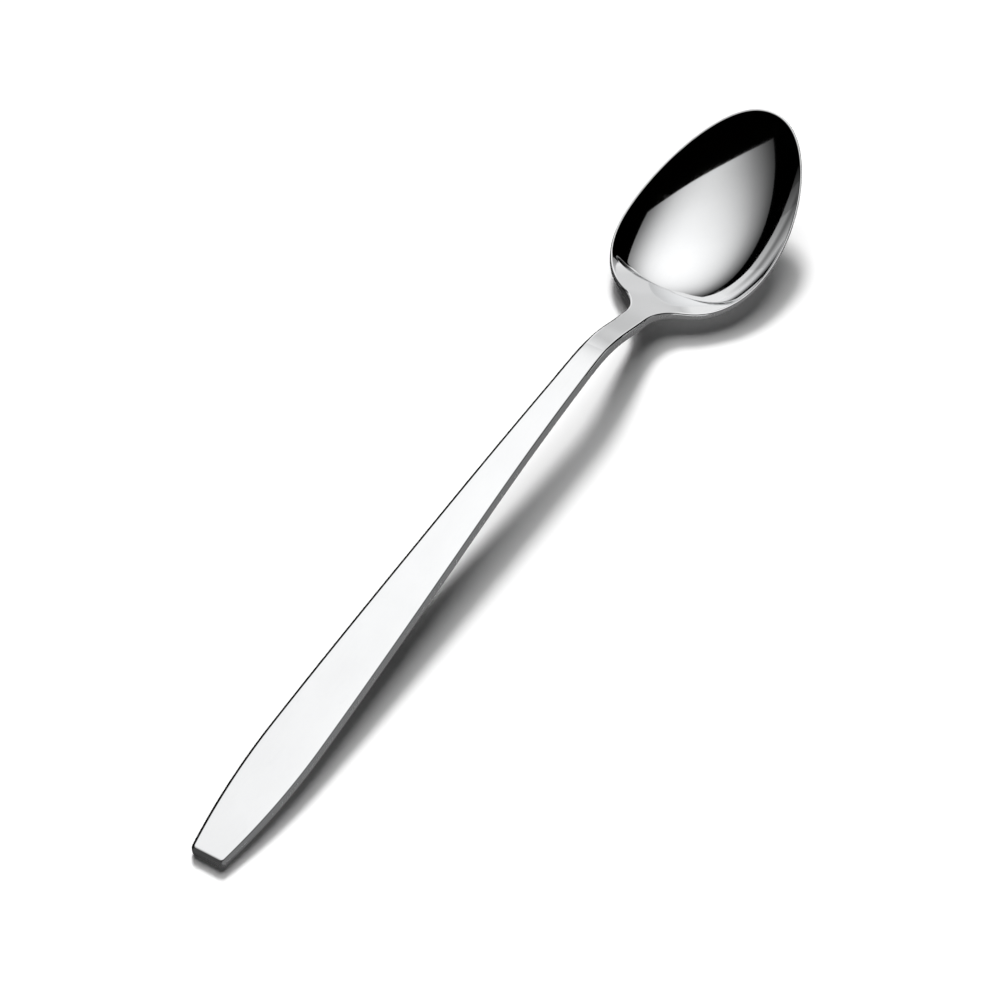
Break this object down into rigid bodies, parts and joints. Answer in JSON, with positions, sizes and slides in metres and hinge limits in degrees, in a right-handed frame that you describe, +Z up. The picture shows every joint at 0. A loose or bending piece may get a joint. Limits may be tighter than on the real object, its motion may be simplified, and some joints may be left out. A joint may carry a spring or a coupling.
{
  "type": "baby spoon",
  "caption": "Long-handled baby spoon of polished stainless steel, with a flat tapering handle, a bent neck and an egg-shaped bowl, for feeding a child or stirring in a tall cup.",
  "frame": {"origin": "centre of the spoon's length and width, on the table that it rests on", "axes": "+X along the spoon towards the tip of the bowl, +Y to its left, +Z up out of the bowl"},
  "size_m": [0.15, 0.0244, 0.0132],
  "materials": {
    "steel": "polished"
  },
  "bodies": {
    "root": {"handle": "steel", "neck": "steel", "bowl": "steel"}
  },
  "joints": []
}
